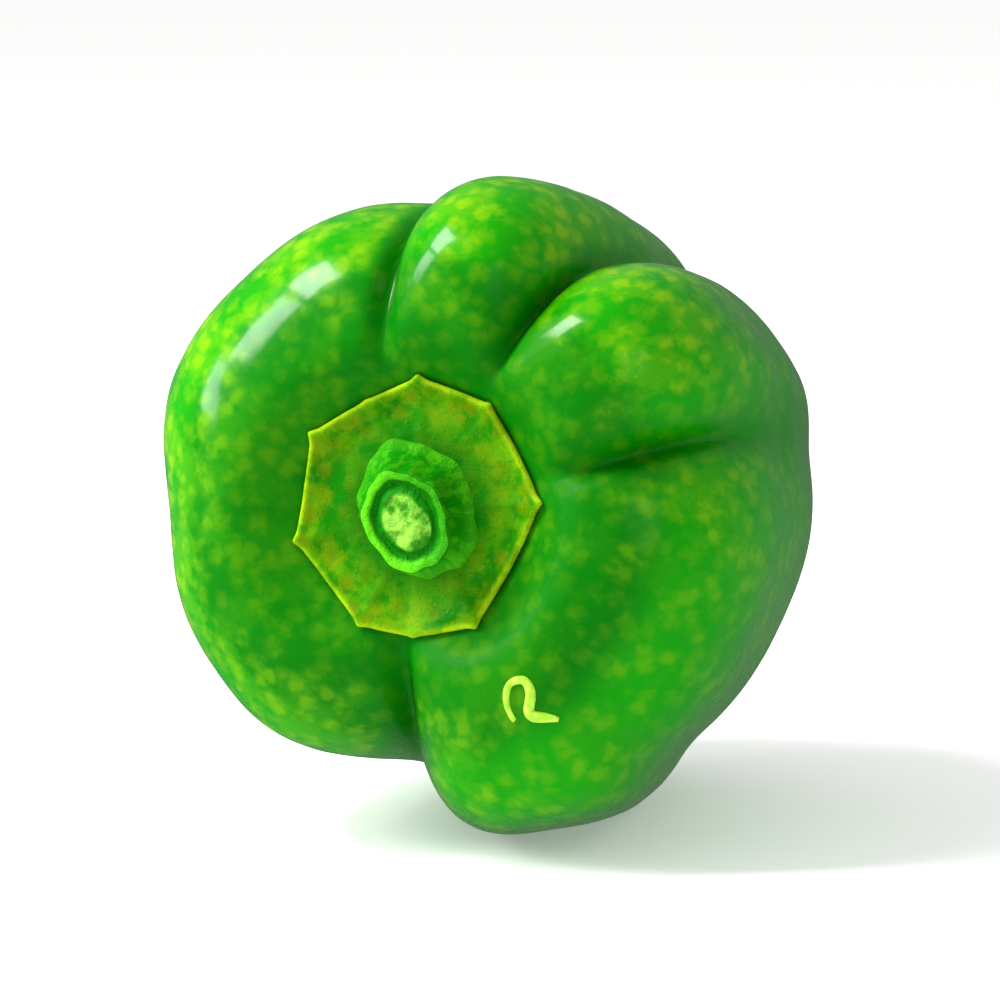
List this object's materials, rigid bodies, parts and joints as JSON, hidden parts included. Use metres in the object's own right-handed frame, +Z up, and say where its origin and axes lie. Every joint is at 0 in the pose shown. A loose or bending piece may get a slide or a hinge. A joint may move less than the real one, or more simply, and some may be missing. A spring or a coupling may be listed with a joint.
{
  "type": "bell pepper",
  "caption": "Green bell pepper lying on its side: lobed glossy fruit with a many-cornered calyx and a cut stem stub.",
  "frame": {"origin": "on the surface the pepper rests on, under the middle of its bounding box", "axes": "+Z up; the stem end points towards -Y and a little up; +X is to the right of someone who faces the stem end"},
  "size_m": [0.0736, 0.09, 0.0787],
  "materials": {
    "skin": "waxy gloss, deep green with yellow-green mottling",
    "calyx": "matt leafy green with a yellow-green edge",
    "stem": "matt ridged green with a pale fibrous cut end"
  },
  "bodies": {
    "root": {"fruit": "skin", "calyx": "calyx", "stem": "stem"}
  },
  "joints": []
}
